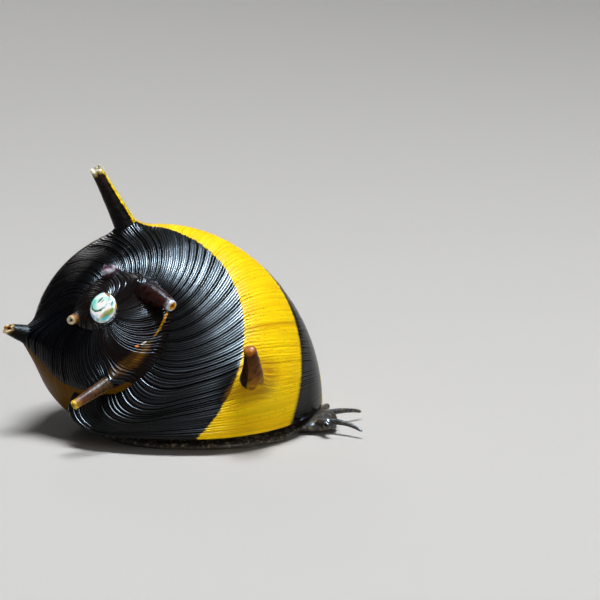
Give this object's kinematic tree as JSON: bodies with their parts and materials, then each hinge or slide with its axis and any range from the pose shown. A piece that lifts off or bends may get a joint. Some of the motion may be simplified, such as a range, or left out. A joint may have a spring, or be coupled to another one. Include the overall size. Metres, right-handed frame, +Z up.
{
  "type": "nerite snail",
  "caption": "Life-size horned nerite snail, a still model: low dextral shell with open-ended horns along its shoulder, yellow and black bands, and a flat foot on the floor.",
  "frame": {"origin": "on the floor, under the middle of the whole animal seen from above", "axes": "+X is the way the snail crawls, +Y its left side, +Z up; the spire points to its right, back and up"},
  "size_m": [0.0202, 0.0158, 0.0149],
  "materials": {
    "shell": "glossy black shell with fine growth ribs and saturated yellow bands",
    "nacre": "worn apex of pearly white, teal and gold nacre",
    "callus": "smooth cream and grey callus",
    "flesh": "moist dark grey flesh with fine dark lines",
    "eye": "small glossy black eye on a short stalk"
  },
  "bodies": {
    "root": {"shell_body_whorl": "shell", "shell_spire": "shell", "apex_nacre": "nacre", "columella_deck": "callus", "foot": "flesh", "head": "flesh", "tentacle_left": "flesh", "tentacle_right": "flesh", "eye_left": "eye", "eye_right": "eye"}
  },
  "joints": []
}
